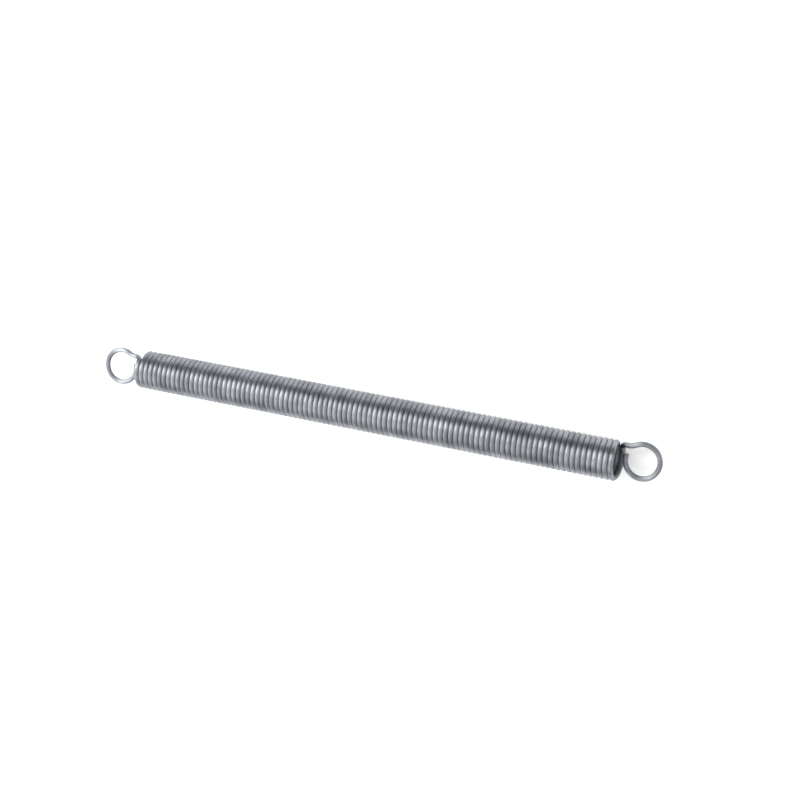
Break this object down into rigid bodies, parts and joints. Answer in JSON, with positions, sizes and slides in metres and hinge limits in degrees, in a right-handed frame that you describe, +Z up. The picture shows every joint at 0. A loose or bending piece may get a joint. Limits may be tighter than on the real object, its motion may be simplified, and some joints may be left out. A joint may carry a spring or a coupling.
{
  "type": "extension spring",
  "caption": "Long close-wound extension spring of round wire with a full hook loop at each end.",
  "frame": {"origin": "on the surface that the coil lies on, below the middle of the spring", "axes": "+X along the coil's axis, from one loop to the other; +Z up, square to the flat of both loops"},
  "size_m": [0.1354, 0.0092, 0.009],
  "materials": {
    "spring_wire": "satin"
  },
  "bodies": {
    "root": {"spring": "spring_wire"}
  },
  "joints": []
}
